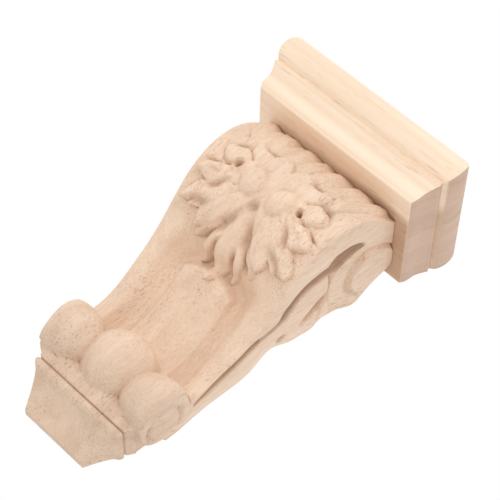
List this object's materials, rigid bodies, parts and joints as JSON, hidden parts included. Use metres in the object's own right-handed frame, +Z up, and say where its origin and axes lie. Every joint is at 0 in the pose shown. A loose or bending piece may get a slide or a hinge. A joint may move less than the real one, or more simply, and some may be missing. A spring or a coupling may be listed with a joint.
{
  "type": "carved wooden corbel bracket",
  "caption": "Carved wooden corbel bracket: a scroll console with leaf carving, lower rolls and a ball, under a moulded cap block.",
  "frame": {"origin": "point of the flat back, on the centre line, 36 mm below the top of the carved body, where the bracket is fixed to the wall", "axes": "+Z up, front faces -Y, X across the width, flat back on the plane Y = 0"},
  "size_m": [0.1072, 0.0662, 0.2004],
  "materials": {
    "body_wood": "raw sanded rubberwood, matt, pinkish tan",
    "cap_wood": "raw sanded rubberwood, matt, pale straw"
  },
  "bodies": {
    "root": {"corbel_body": "body_wood", "cap_block": "cap_wood"}
  },
  "joints": []
}
